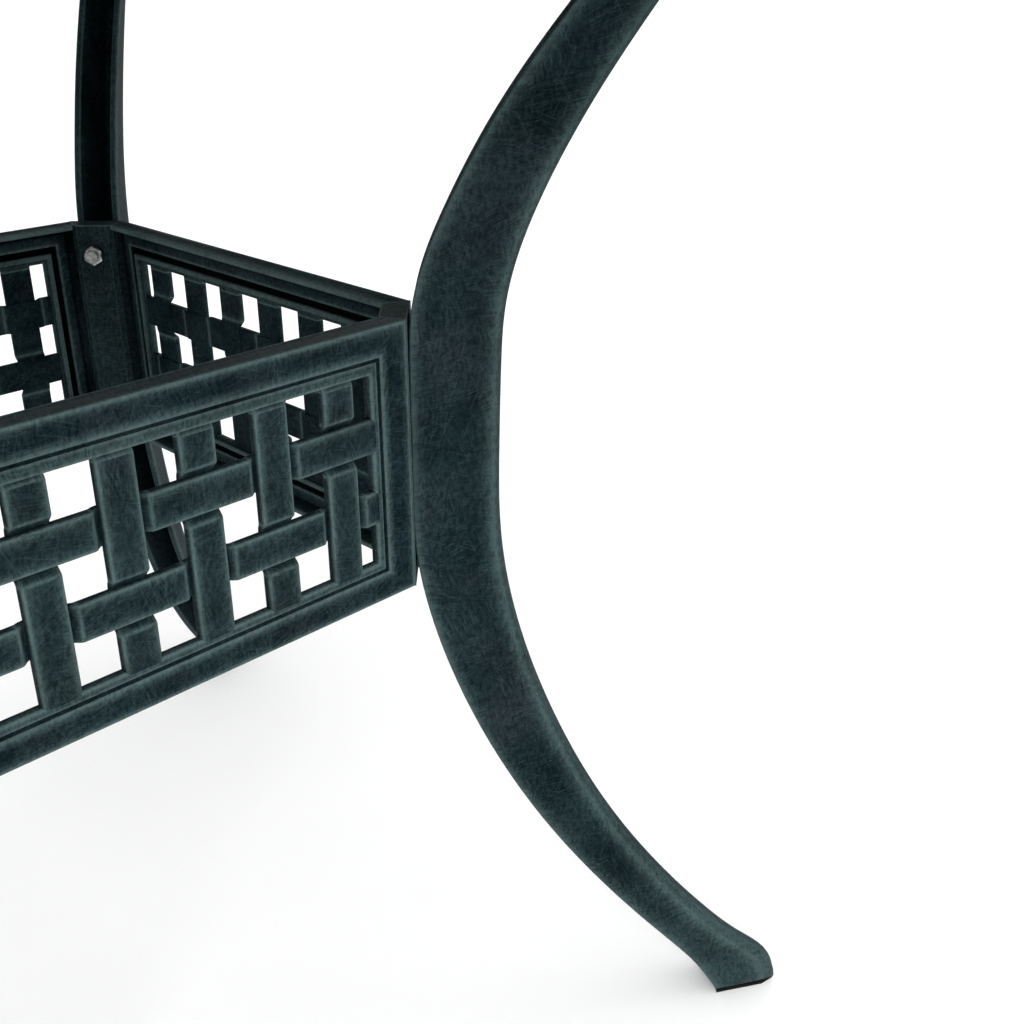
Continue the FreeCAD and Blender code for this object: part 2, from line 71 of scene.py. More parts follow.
# ---- driving values, in millimetres --------------------------------------------------------------
BORDER = {"top": 20.0, "bottom": 20.7, "end": 23.1}     # panel edge to the inner rim
RIM = {"top": 7.2, "bottom": 5.4, "end": 5.3}           # inner rim to the openings
GROOVE_WIDTH = 1.9
GROOVE_DEPTH = 1.6
PLATE_WALL = 6.4
FLANGE_WALL = 4.0
RIDGE_DEPTH = 9.2               # back of the raised ring round the lattice
RIDGE_WIDTH = 4.0
RIM_SETBACK = 0.5               # the inner rim stands this far behind the border's face
LEDGE_DEPTH = 8.6               # back of the low ledge between the flange and the ring

STRAP_WIDTH = 21.8
STRAP_COLUMNS = 6
STRAP_ROWS = 2
STRAP_FRONT = (0.52, 4.3)       # depth of a strap's front over and under a crossing
STRAP_BACK = (6.0, 6.9)
STRAP_SLOPE = 5.5               # length of the slope between the two levels
STRAP_SLOPE_STEPS = 8
STRAP_LEAD = 1.5                # the steps of a slope start this far under the crossing strap
STRAP_REST = 4.0                # a strap has one more step this far past a slope
STRAP_OVERLAP = 3.2             # how far a strap's end runs into the rim
STRAP_END_DROP = 1.6            # the upper end of a column dips this far behind the rim
STRAP_END_SLOPE = 2.6
STRAP_WALL = 0.15               # least thickness at a strap's sides

# the legs' sections, as in the CAD: inner edge and outer edge, each as distance from the frame's
# corner and height, then half width where the outer bevel starts, and depth of that bevel
LEG_SECTIONS = (
    (127.0, 735.7, 153.5, 717.0, 9.0, 3.0),
    (92.7, 695.0, 122.7, 673.0, 9.0, 3.0),
    (54.8, 643.9, 91.0, 621.0, 9.0, 3.0),
    (21.4, 584.8, 65.1, 563.7, 9.0, 3.0),
    (3.4, 537.2, 56.3, 526.5, 9.2, 3.2),
    (0.2, 500.0, 54.3, 497.0, 9.2, 3.2),
    (-0.4, 440.0, 52.9, 441.0, 9.2, 3.2),
    (0.3, 378.0, 53.7, 383.0, 9.2, 3.2),
    (14.0, 310.6, 62.8, 324.1, 9.2, 3.2),
    (42.8, 236.4, 83.7, 257.5, 9.0, 3.4),
    (92.4, 151.8, 123.6, 173.9, 8.8, 3.6),
    (153.0, 77.9, 176.0, 100.2, 8.5, 4.4),
    (180.9, 48.8, 205.1, 68.4, 8.2, 5.4),
    (198.3, 29.0, 233.3, 43.3, 7.8, 6.6),
    (210.9, 10.0, 257.9, 19.0, 7.4, 8.5),
    (214.8, 2.5, 261.8, 2.5, 7.3, 9.5),
    (217.5, -6.0, 261.8, -6.0, 7.2, 9.5),
)
LEG_STEPS = 170                 # even cross-sections that a leg is drawn through
LEG_HALF_WIDTH = 16.25          # at the inner edge
LEG_TIP_NARROWING = 4.0         # the outer bevel takes this off the half width
LEG_WALL = 5.0
LEG_WEB = 6.5                   # thickness of the channel's outer wall
LEG_FACE_SETBACK = 0.3          # the solid foot's inner face lies this far behind its edges
FOOT_SOLID_HEIGHT = 68.0        # the channel ends at this height
LEG_BLOCK_DEPTH = 16.0          # solid block behind the inner edge, for the studs
LEG_BLOCK_MARGIN = 8.0          # the block stops this far inside the frame's height
PAD_LENGTH, PAD_WIDTH, PAD_CORNER = 52.0, 96.0, 9.0
PAD_THICKNESS = 8.0
PAD_OVERLAP = 0.5               # how far the leg's upper end runs into its pad
WASHER_RADIUS, BOLT_SPACING = 6.0, 70.0
BLOCK_ARC_STEPS = 5             # steps round a block's rounded corner

GLIDE_THICKNESS = 2.5
SOLE_RADIUS = 2.8               # rounding round the foot's lower edge
SOLE_STEPS = (0.12, 0.35, 0.65, 1.0)                    # as shares of that radius
SOLE_WEAR = 0.6
FOOT_WEAR, FOOT_WEAR_HEIGHT = 0.26, 130.0               # the coat pales towards the floor

POST_BEVEL, POST_WEAR = 1.0, 0.12
TOP_BEVEL, TOP_WEAR = 0.6, 0.0
SHARP_ANGLE = 24.0              # degrees; edges that turn more than this are bevelled
FLAT_ANGLE = 0.6                # degrees; edges that turn less than this are dissolved
MERGE_DISTANCE = 1e-6           # metres

SIDES = ("front", "right", "back", "left")
CORNERS = ("front_right", "back_right", "back_left", "front_left")

# ---- sizes from the frame, in millimetres --------------------------------------------------------
front_low, front_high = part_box("lattice_panel_front")
HALF = front_high[0] / MM
FACE_Y = front_low[1] / MM
FLANGE_DEPTH = (front_high[1] - front_low[1]) / MM
Z0, Z1 = front_low[2] / MM, front_high[2] / MM
CORNER_PLANE = (HALF - FACE_Y) / math.sqrt(2)           # the frame's corner, from its axis
PAD_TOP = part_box("leg_front_right")[1][2] / MM
PAD_MIDDLE = ((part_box("top_washers")[1][0] / MM - WASHER_RADIUS) * math.sqrt(2)
              - BOLT_SPACING / 2)
MITRE_SLOPE = math.tan(math.radians(45) / 2)            # a panel and a corner meet at 45 degrees


# ---- meshes --------------------------------------------------------------------------------------
class Mesh:
    """A bmesh in millimetres whose vertices carry how worn the coat is, and how dark a painted
    shade is where below 0.
    """

    def __init__(self):
        self.bm = bmesh.new()
        self.wear_and_shade = self.bm.verts.layers.float.new("wear_and_shade")

    def point(self, place, wear_and_shade=0.0):
        vert = self.bm.verts.new(Vector(place) * MM)
        vert[self.wear_and_shade] = wear_and_shade
        return vert

    def bridge(self, rings):
        """Quads between neighbouring closed rings of vertices."""
        count = len(rings[0])
        for a, b in zip(rings, rings[1:]):
            for k in range(count):
                self.bm.faces.new((a[k], a[(k + 1) % count], b[(k + 1) % count], b[k]))

    def cap(self, rings):
        """Closes the first and the last ring with a face each."""
        self.bm.faces.new(rings[0][::-1])
        self.bm.faces.new(rings[-1])

    def bisect(self, height, up=1, cut_off=False):
        """Cuts at a height. cut_off takes away what lies above, or below if up is -1."""
        return bmesh.ops.bisect_plane(
            self.bm, geom=self.bm.verts[:] + self.bm.edges[:] + self.bm.faces[:],
            plane_co=(0, 0, height * MM), plane_no=(0, 0, up), clear_outer=cut_off)


def add_border(mesh):
    """The panel's border: bevelled plate, groove, rounded rim, rear ridge and two flanges."""
    outline = [  # zone, distance in from it, depth, wear (below 0: painted shade of the groove and the recesses), is it on the flange
        ("edge", 0.0, PLATE_WALL, 0.22, False),
        ("edge", 0.0, 4.0, 0.22, False), ("edge", 0.0, 1.7, 0.5, False),
        ("edge", 0.2, 0.75, 1.0, False), ("edge", 0.75, 0.2, 1.0, False),
        ("edge", 1.7, 0.0, 0.7, False), ("edge", 3.2, 0.0, 0.2, False),
        ("edge", 6.5, 0.0, 0.0, False),
        ("rim", -GROOVE_WIDTH - 6.5, 0.0, 0.0, False),
        ("rim", -GROOVE_WIDTH - 3.2, 0.0, 0.35, False),
        ("rim", -GROOVE_WIDTH - 1.3, 0.0, 0.8, False),
        ("rim", -GROOVE_WIDTH - 0.35, 0.25, 0.8, False), ("rim", -GROOVE_WIDTH, 0.9, -0.2, False),
        ("rim", -GROOVE_WIDTH + 0.15, GROOVE_DEPTH, -0.25, False),
        ("rim", -0.15, GROOVE_DEPTH, -0.4, False), ("rim", 0.0, RIM_SETBACK + 0.8, 0.0, False),
        ("rim", 0.3, RIM_SETBACK + 0.2, 0.9, False), ("rim", 1.1, RIM_SETBACK, 0.6, False),
        ("rim", 2.2, RIM_SETBACK, 0.35, False),
        ("open", -2.4, RIM_SETBACK, 0.45, False), ("open", -1.1, RIM_SETBACK + 0.2, 0.9, False),
        ("open", -0.35, RIM_SETBACK + 0.75, 0.9, False),
        ("open", 0.0, RIM_SETBACK + 1.8, 0.45, False),
        ("open", 0.0, PLATE_WALL - 0.8, 0.15, False), ("open", -0.6, PLATE_WALL, 0.3, False),
        ("rim", RIDGE_WIDTH, PLATE_WALL, 0.0, False),
        ("rim", RIDGE_WIDTH, RIDGE_DEPTH - 0.9, 0.4, False),
        ("rim", RIDGE_WIDTH - 0.7, RIDGE_DEPTH, 0.7, False),
        ("rim", 0.7, RIDGE_DEPTH, 0.7, False), ("rim", 0.0, RIDGE_DEPTH - 0.9, 0.4, False),
        ("rim", 0.0, PLATE_WALL, -1.0, False),
        ("rim", -4.6, PLATE_WALL, -1.0, False), ("rim", -4.8, LEDGE_DEPTH - 0.5, 0.3, False),
        ("rim", -5.4, LEDGE_DEPTH, 0.7, False), ("rim", -7.5, LEDGE_DEPTH, 0.1, False),
        ("edge", FLANGE_WALL + 3.5, LEDGE_DEPTH, 0.0, False),
        ("edge", FLANGE_WALL + 3.0, PLATE_WALL, -0.8, False),
        ("edge", FLANGE_WALL, PLATE_WALL, 0.0, True),
        ("edge", FLANGE_WALL, FLANGE_DEPTH - 1.4, 0.4, True),
        ("edge", FLANGE_WALL - 0.9, FLANGE_DEPTH - 0.2, 0.9, True),
        ("edge", 1.0, FLANGE_DEPTH, 0.9, True), ("edge", 0.25, FLANGE_DEPTH - 0.4, 1.0, True),
        ("edge", 0.0, FLANGE_DEPTH - 1.4, 0.6, True), ("edge", 0.0, FLANGE_DEPTH - 4.0, 0.22, True)]

    def corners(zone, inward, depth, wear_and_shade, on_flange):
        base = {"edge": {"top": 0, "bottom": 0, "end": 0}, "rim": BORDER,
                "open": {k: BORDER[k] + RIM[k] for k in BORDER}}[zone]
        mitre = depth * MITRE_SLOPE if zone == "edge" else 0.0
        x = HALF - base["end"] - (0.0 if on_flange else inward) - mitre
        low, high = Z0 + base["bottom"] + inward, Z1 - base["top"] - inward
        return [mesh.point((sx * x, FACE_Y + depth, z), wear_and_shade)
                for sx, z in ((-1, low), (1, low), (1, high), (-1, high))]

    rings = [corners(*point) for point in outline]
    for side in range(4):
        on_end = side % 2 == 1
        chain = [r for r, point in zip(rings, outline) if not (on_end and point[4])]
        for a, b in zip(chain, chain[1:] + chain[:1]):
            mesh.bm.faces.new((a[side], a[(side + 1) % 4], b[(side + 1) % 4], b[side]))
    flange = [r for r, point in zip(rings, outline) if point[4]] + [rings[0]]
    for corner in range(4):
        mesh.bm.faces.new([r[corner] for r in flange])


def smooth_step(t):
    t = min(max(t, 0.0), 1.0)
    return t * t * (3 - 2 * t)


def add_strap(mesh, start, end, unders, at, levels, dips=False):
    """One woven strap. at(s, across, depth) places a point; levels are its front and back.

    unders holds where it passes under another strap. dips lets its end slope back at the rim.
    """
    (over, under), (back_over, back_under) = levels
    half = STRAP_WIDTH / 2
    stops = {start, end}
    for centre in unders:
        for side in (-1, 1):
            stops.update(centre + side * (half - STRAP_LEAD
                                          + (STRAP_SLOPE + STRAP_LEAD) * k / STRAP_SLOPE_STEPS)
                         for k in range(STRAP_SLOPE_STEPS + 2))
            stops.add(centre + side * (half + STRAP_SLOPE + STRAP_REST))
    dip_start = end - STRAP_OVERLAP - STRAP_END_SLOPE
    if dips:
        stops.update(dip_start + STRAP_END_SLOPE * k / 5 for k in range(-2, 6))
    half_section = (  # depth behind the front, or None at the back, distance in, wear
        (None, 0.3, 0.0), (4.2, 0.0, 0.0), (2.2, 0.0, 0.1), (1.1, 0.2, 0.4),
        (0.45, 0.65, 0.9), (0.12, 1.35, 0.9), (0.0, 2.3, 0.5), (0.0, 3.8, 0.26),
        (0.0, 6.0, 0.14), (0.0, 8.5, 0.08))
    section = [(-1, *p) for p in half_section] + [(1, *p) for p in half_section[::-1]]
    rings = []
    for s in sorted(stop for stop in stops if start <= stop <= end):
        reach = [(abs(s - centre) - half) / STRAP_SLOPE for centre in unders]
        share = smooth_step(1.0 - min(reach)) if reach else 0.0    # 0 is over and 1 is under
        shoulder = max((1 - abs(r - 0.85) / 0.4 for r in reach), default=0.0)    # rubbed pale
        front = over + (under - over) * share
        if dips and s > dip_start:
            t = (s - dip_start) / STRAP_END_SLOPE
            front += STRAP_END_DROP * min(t, 1.0) ** 1.6
            shoulder = max(shoulder, 1 - abs(t - 0.3) / 0.8)
        back = back_over + (back_under - back_over) * share
        ring = []
        for side, drop, inward, wear_and_shade in section:
            depth = back if drop is None else min(front + drop, back - STRAP_WALL)
            # the pale wear fades where the strap runs under another strap: painted shade under the
            # crossing
            wear_dimmed_in_shade = max(wear_and_shade, 0.85 * max(shoulder, 0.0)) * (1 - 0.8 * share)
            ring.append(mesh.point(at(s, side * (half - inward), depth), wear_dimmed_in_shade))
        rings.append(ring)
    mesh.bridge(rings)
    mesh.cap(rings)


def panel_mesh():
    """The front panel with its woven lattice."""
    mesh = Mesh()
    add_border(mesh)
    open_x = HALF - BORDER["end"] - RIM["end"]
    open_z0 = Z0 + BORDER["bottom"] + RIM["bottom"]
    open_z1 = Z1 - BORDER["top"] - RIM["top"]
    pitch = 2 * open_x / STRAP_COLUMNS
    columns = [open_x - (k + 0.5) * pitch for k in range(STRAP_COLUMNS)]
    rows = [(open_z0 + open_z1) / 2 + ((STRAP_ROWS - 1) / 2 - j) * pitch
            for j in range(STRAP_ROWS)]
    levels = (STRAP_FRONT, STRAP_BACK)
    for k, x in enumerate(columns):
        unders = [z for j, z in enumerate(rows) if (k + j) % 2 == 0]
        add_strap(mesh, open_z0 - STRAP_OVERLAP, open_z1 + STRAP_OVERLAP, unders,
                  lambda s, across, depth: (x + across, FACE_Y + depth, s), levels, dips=True)
    for j, z in enumerate(rows):
        unders = [x for k, x in enumerate(columns) if (k + j) % 2 == 1]
        add_strap(mesh, -open_x - STRAP_OVERLAP, open_x + STRAP_OVERLAP, unders,
                  lambda s, across, depth: (s, FACE_Y + depth, z + across), levels)
    return mesh


def spline(rows, steps):
    """Even steps along a smooth curve through rows of numbers, as a natural cubic spline."""
    data = np.array(rows)
    middle = (data[:, 0:2] + data[:, 2:4]) / 2
    along = np.concatenate([[0], np.cumsum(np.linalg.norm(np.diff(middle, axis=0), axis=1))])
    count, gaps = len(rows), np.diff(along)
    system, right = np.eye(count), np.zeros_like(data)
    for k in range(1, count - 1):
        system[k, k - 1:k + 2] = gaps[k - 1], 2 * (gaps[k - 1] + gaps[k]), gaps[k]
        right[k] = 6 * ((data[k + 1] - data[k]) / gaps[k] - (data[k] - data[k - 1]) / gaps[k - 1])
    bend = np.linalg.solve(system, right)
    result = []
    for t in np.linspace(0, along[-1], steps):
        k = min(int(np.searchsorted(along, t, side="right")) - 1, count - 2)
        gap, a, b = gaps[k], along[k + 1] - t, t - along[k]
        result.append(bend[k] * a ** 3 / (6 * gap) + bend[k + 1] * b ** 3 / (6 * gap)
                      + (data[k] / gap - bend[k] * gap / 6) * a
                      + (data[k + 1] / gap - bend[k + 1] * gap / 6) * b)
    return result


def leg_half_section(depth, tip_half, bevel, hollow):
    """Half of a leg's cross-section as (depth from the inner edge, half width, wear).

    hollow is 1 where the leg is a channel and 0 where it is solid.
    """
    slope = (tip_half - LEG_HALF_WIDTH) / (depth - bevel)

    def flank(at):
        return LEG_HALF_WIDTH + slope * at

    mouth = LEG_HALF_WIDTH - LEG_WALL
    floor = LEG_FACE_SETBACK + (depth - LEG_WEB - LEG_FACE_SETBACK) * hollow
    corner = mouth + (tip_half - LEG_WALL * 0.8 - mouth) * hollow
    ridge = depth - bevel
    tip = tip_half - LEG_TIP_NARROWING
    return [
        (floor, 0.0, 0.0), (floor, corner - 2.0, 0.0), (floor - 1.6 * hollow, corner - 0.3, 0.0),
        (LEG_FACE_SETBACK + 3.0 * hollow, mouth, 0.0),
        (LEG_FACE_SETBACK + 0.7 * hollow, mouth + 0.05, 0.5),
        (0.12, mouth + 0.6, 0.5), (0.0, mouth + 1.5, 0.2), (0.0, LEG_HALF_WIDTH - 1.6, 0.3),
        (0.35, LEG_HALF_WIDTH - 0.55, 0.7), (1.3, flank(1.3) - 0.05, 0.65),
        (2.8, flank(2.8), 0.42), (5.0, flank(5.0), 0.2), (9.0, flank(9.0), 0.04),
        (ridge - 12.0, flank(ridge - 12.0), 0.0), (ridge - 7.0, flank(ridge - 7.0), 0.12),
        (ridge - 3.8, flank(ridge - 3.8), 0.32), (ridge - 1.6, flank(ridge - 1.6) - 0.02, 0.55),
        (ridge - 0.4, flank(ridge - 0.4) - 0.15, 0.6),
        (ridge + 1.0, tip_half - LEG_TIP_NARROWING * 1.0 / bevel - 0.2, 0.42),
        (depth - bevel * 0.45, tip + LEG_TIP_NARROWING * 0.45, 0.3),
        (depth - 0.9, tip + 0.6, 0.35), (depth - 0.25, tip - 0.3, 0.4), (depth, tip - 1.2, 0.25),
        (depth, 0.0, 0.15)]


def add_rounded_block(mesh, x0, x1, half_y, z0, z1, corner, edge):
    """An upright block with rounded corners and softly bevelled edges."""
    rounding = ((1.6 * edge, 0.0, 0.3), (edge, 0.0, 0.7), (0.3 * edge, 0.3 * edge, 1.0),
                (0.0, edge, 0.7))    # distance in, distance from the end, wear
    rings = []
    for inward, z, wear_and_shade in ([(inward, z0 + rise, wear_and_shade) for inward, rise, wear_and_shade in rounding]
                            + [(inward, z1 - rise, wear_and_shade) for inward, rise, wear_and_shade in rounding[::-1]]):
        ring = []
        for cx, cy, first in ((x1, half_y, 0), (x0, half_y, 90), (x0, -half_y, 180),
                              (x1, -half_y, 270)):
            for k in range(BLOCK_ARC_STEPS + 1):
                angle = math.radians(first + 90 * k / BLOCK_ARC_STEPS)
                px = cx - math.copysign(corner, cx - (x0 + x1) / 2)
                py = cy - math.copysign(corner, cy)
                radius = corner - inward
                ring.append(mesh.point((px + radius * math.cos(angle),
                                        py + radius * math.sin(angle), z), wear_and_shade))
        rings.append(ring)
    mesh.bridge(rings)
    mesh.cap(rings)


def round_sole(mesh):
    """Rounds the foot's lower edge, just above its glide."""
    for share in SOLE_STEPS:
        mesh.bisect(GLIDE_THICKNESS + SOLE_RADIUS * share)
    low = [v for v in mesh.bm.verts if v.co.z < (GLIDE_THICKNESS + SOLE_RADIUS * 0.99) * MM]
    heel, toe = min(v.co.x for v in low), max(v.co.x for v in low)
    for v in low:
        rise = min(max((v.co.z / MM - GLIDE_THICKNESS) / SOLE_RADIUS, 0.0), 1.0)
        inset = SOLE_RADIUS * MM * (1 - math.sqrt(1 - (1 - rise) ** 2))
        v.co.y = math.copysign(max(abs(v.co.y) - inset, 0.0), v.co.y)
        v.co.x = min(max(v.co.x, heel + inset), toe - inset)
        v[mesh.wear_and_shade] = SOLE_WEAR * rise


def leg_mesh():
    """One leg casting with +X outwards: channel sweep, solid foot, stud block and top pad."""
    mesh = Mesh()
    rings = []
    for inner_r, inner_z, outer_r, outer_z, tip_half, bevel in spline(LEG_SECTIONS, LEG_STEPS):
        inner = Vector((CORNER_PLANE + inner_r, 0, inner_z))
        across = Vector((CORNER_PLANE + outer_r, 0, outer_z)) - inner
        depth = across.length
        across.normalize()
        hollow = 1.0 if inner_z > FOOT_SOLID_HEIGHT else 0.0
        foot_wear = FOOT_WEAR * smooth_step(1.0 - inner_z / FOOT_WEAR_HEIGHT)
        half = leg_half_section(depth, tip_half, bevel, hollow)
        loop = half + [(d, -w, wear_and_shade) for d, w, wear_and_shade in half[-2:0:-1]]
        rings.append([mesh.point(inner + across * d + Vector((0, w, 0)),
                                 wear_and_shade + foot_wear * (1.0 - wear_and_shade)) for d, w, wear_and_shade in loop])
    mesh.bridge(rings)
    for height, up in ((PAD_TOP - PAD_THICKNESS + PAD_OVERLAP, 1), (GLIDE_THICKNESS, -1)):
        cut = mesh.bisect(height, up, cut_off=True)
        edges = [e for e in cut["geom_cut"] if isinstance(e, bmesh.types.BMEdge)]
        bmesh.ops.contextual_create(mesh.bm, geom=edges)
    round_sole(mesh)
    add_rounded_block(mesh, CORNER_PLANE + 0.2, CORNER_PLANE + LEG_BLOCK_DEPTH,
                      LEG_HALF_WIDTH - LEG_WALL + 0.4, Z0 + LEG_BLOCK_MARGIN,
                      Z1 - LEG_BLOCK_MARGIN, corner=1.0, edge=0.6)
    add_rounded_block(mesh, PAD_MIDDLE - PAD_LENGTH / 2, PAD_MIDDLE + PAD_LENGTH / 2,
                      PAD_WIDTH / 2, PAD_TOP - PAD_THICKNESS, PAD_TOP, PAD_CORNER, edge=1.2)
    return mesh


def cad_copy(node, offset, face_wear):
    """A CAD casting's mesh with its sharp edges bevelled and marked as worn."""
    mesh = Mesh()
    bm = mesh.bm
    bm.from_mesh(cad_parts[node].data)
    bmesh.ops.remove_doubles(bm, verts=bm.verts, dist=MERGE_DISTANCE)
    bmesh.ops.dissolve_limit(bm, angle_limit=math.radians(FLAT_ANGLE), verts=bm.verts,
                             edges=bm.edges, use_dissolve_boundaries=False)
    sharp = [e for e in bm.edges
             if e.is_manifold and e.calc_face_angle(0) > math.radians(SHARP_ANGLE)]
    made = bmesh.ops.bevel(bm, geom=sharp, offset=offset * MM, segments=2, profile=0.5,
                           affect="EDGES", clamp_overlap=True)
    new_faces = set(made["faces"])
    for vert in bm.verts:
        on_edge = vert.link_faces and all(face in new_faces for face in vert.link_faces)
        vert[mesh.wear_and_shade] = 1.0 if on_edge else face_wear
    return mesh


# ---- materials -----------------------------------------------------------------------------------
class Nodes:
    """Short helpers for building one material's node tree."""

    def __init__(self, name):
        self.material = bpy.data.materials.new(name)
        self.material.use_nodes = True
        self.tree = self.material.node_tree
        self.shader = self.tree.nodes["Principled BSDF"]

    def add(self, kind, links=(), **values):
        node = self.tree.nodes.new(kind)
        for key, value in values.items():
            setattr(node, key, value)
        for socket, source in links:
            if isinstance(source, bpy.types.NodeSocket):
                self.tree.links.new(source, node.inputs[socket])
            else:
                node.inputs[socket].default_value = source
        return node

    def maths(self, operation, a, b=None, clamp=False):
        links = [(0, a)] + ([(1, b)] if b is not None else [])
        return self.add("ShaderNodeMath", links, operation=operation, use_clamp=clamp).outputs[0]

    def vector(self, operation, a, b=None):
        links = [(0, a)] + ([(1, b)] if b is not None else [])
        node = self.add("ShaderNodeVectorMath", links, operation=operation)
        return node.outputs["Value" if operation == "DOT_PRODUCT" else "Vector"]

    def ramp(self, source, low, high):
        """source between low and high, spread to 0..1 and clamped."""
        return self.add("ShaderNodeMapRange", [("Value", source), ("From Min", low),
                                               ("From Max", high)]).outputs[0]

    def mix(self, factor, a, b):
        return self.add("ShaderNodeMix", [(0, factor), (6, a), (7, b)],
                        data_type="RGBA").outputs[2]

    def noise(self, coords, scale, detail=3.0, roughness=0.55):
        return self.add("ShaderNodeTexNoise", [("Vector", coords), ("Scale", scale),
                                               ("Detail", detail), ("Roughness", roughness)]
                        ).outputs[0]

    def stretched(self, coords, turn, stretch):
        """Coordinates turned and then stretched, for streaks along one direction."""
        turned = self.add("ShaderNodeVectorRotate", [
            ("Vector", coords), ("Angle", math.radians(turn))], rotation_type="Z_AXIS").outputs[0]
        return self.vector("MULTIPLY", turned, stretch)

    def highest(self, sources):
        largest = sources[0]
        for source in sources[1:]:
            largest = self.maths("MAXIMUM", largest, source)
        return largest

    def out(self, socket, source):
        self.tree.links.new(source, self.shader.inputs[socket])

    def bump(self, height, strength, distance):
        """Roughens the surface by a height, over a distance in millimetres."""
        self.out("Normal", self.add("ShaderNodeBump", [
            ("Strength", strength), ("Distance", distance * MM), ("Height", height)]).outputs[0])


COAT_DARK = (0.0012, 0.0050, 0.0062, 1)
COAT_FACE = (0.0085, 0.0200, 0.0245, 1)
# near black painted shade for the grooves and recesses
COAT_PAINTED_SHADE = (0.0004, 0.0008, 0.0010, 1)
COAT_CLOUD = (0.0300, 0.0390, 0.0470, 1)
COAT_EDGE = (0.1080, 0.1650, 0.1600, 1)
COAT_SCRATCH = (0.0520, 0.0850, 0.0890, 1)
COAT_SPECULAR = 0.008
COAT_ROUGHNESS, COAT_ROUGHNESS_SPREAD = 0.42, 0.22
COAT_EDGE_RADIUS = 3.2          # millimetres; edges of the CAD's castings pale this far in

# directions in degrees, lengths in metres, scales per metre
BRUSH_ANGLES = (-5.0, -15.0, -27.0, 11.0, 74.0, 103.0)
STROKE_LENGTH, STROKE_WIDTH = 0.0110, 0.00085
STROKE_PATCH = 0.030            # size of a patch that is brushed one way
SCRATCH_ANGLES = (21.0, 63.0, 112.0)
SCRATCH_LENGTH, SCRATCH_WIDTH = 0.024, 0.0006
SWAY, SWAY_SCALE = 0.005, 22.0  # how far strokes and scratches bend
LEVEL_FACE = 0.8                # a face counts as level when its normal's height is above this
PATCH_SCALE, CLOUD_SCALE, SPECKLE_SCALE, MOTTLE_SCALE = 26.0, 15.0, 700.0, 430.0


def along_the_face(n, place):
    """Coordinates along a face, swaying a little: sideways and up on a wall, x and y if level."""
    facing = n.add("ShaderNodeNewGeometry").outputs["True Normal"]
    upright = n.add("ShaderNodeSeparateXYZ", [(0, facing)]).outputs[2]
    sideways = n.vector("NORMALIZE", n.vector("CROSS_PRODUCT", (0, 0, 1), facing))
    height = n.add("ShaderNodeSeparateXYZ", [(0, place)]).outputs[2]
    wall = n.add("ShaderNodeCombineXYZ", [(0, n.vector("DOT_PRODUCT", place, sideways)),
                                          (1, height)]).outputs[0]
    is_level = n.maths("GREATER_THAN", n.maths("ABSOLUTE", upright), LEVEL_FACE)
    sheet = n.add("ShaderNodeMix", [(0, is_level), (4, wall), (5, place)],
                  data_type="VECTOR").outputs[1]
    sway = n.add("ShaderNodeTexNoise", [("Vector", place), ("Scale", SWAY_SCALE), ("Detail", 1.0)]
                 ).outputs[1]
    return n.vector("ADD", sheet, n.vector("MULTIPLY", sway, (SWAY, SWAY, 0.0)))


def brush_strokes(n, place, sheet):
    """Pale and dark strokes, where each direction has patches of its own."""
    pale, dark = [], []
    for k, angle in enumerate(BRUSH_ANGLES):
        along = n.stretched(sheet, angle, (1 / STROKE_LENGTH, 1 / STROKE_WIDTH, 0.0))
        moved = n.vector("ADD", along, (17.3 * k, 9.1 * k, 3.7 * k))
        grain = n.noise(moved, 1.0, 2.0, 0.6)
        region = n.vector("ADD", place, (3.1 * k, 1.7 * k, 2.3 * k))
        where = n.ramp(n.noise(region, 1 / STROKE_PATCH, 2.0), 0.42, 0.66)
        pale.append(n.maths("MULTIPLY", n.ramp(grain, 0.50, 0.76), where))
        dark.append(n.maths("MULTIPLY", n.ramp(grain, 0.48, 0.30), where))
    return n.highest(pale), n.highest(dark)


def fine_scratches(n, sheet):
    lines = []
    for k, angle in enumerate(SCRATCH_ANGLES):
        along = n.stretched(sheet, angle, (1 / SCRATCH_LENGTH, 1 / SCRATCH_WIDTH, 0.0))
        moved = n.vector("ADD", along, (5.3 * k, 31.1 * k, 0.0))
        lines.append(n.ramp(n.noise(moved, 1.0, 0.0), 0.72, 0.80))
    return n.highest(lines)


def worn_edges(n, wear_and_shade, patches, strokes, with_bevel):
    """How worn the coat is, from the mesh's wear and, with_bevel, from its edges as well."""
    worn = n.maths("MAXIMUM", wear_and_shade, 0.0)
    if with_bevel:
        rounded = n.add("ShaderNodeBevel", [("Radius", COAT_EDGE_RADIUS * MM)], samples=6
                        ).outputs[0]
        bend = n.vector("DOT_PRODUCT", n.add("ShaderNodeNewGeometry").outputs["Normal"], rounded)
        worn = n.maths("MAXIMUM", worn, n.ramp(bend, 0.995, 0.80))
    rubbed = n.maths("ADD", n.maths("MULTIPLY", patches, 0.7), n.maths("MULTIPLY", strokes, 0.35))
    return n.maths("MULTIPLY", worn, n.ramp(rubbed, -0.25, 0.45), clamp=True)


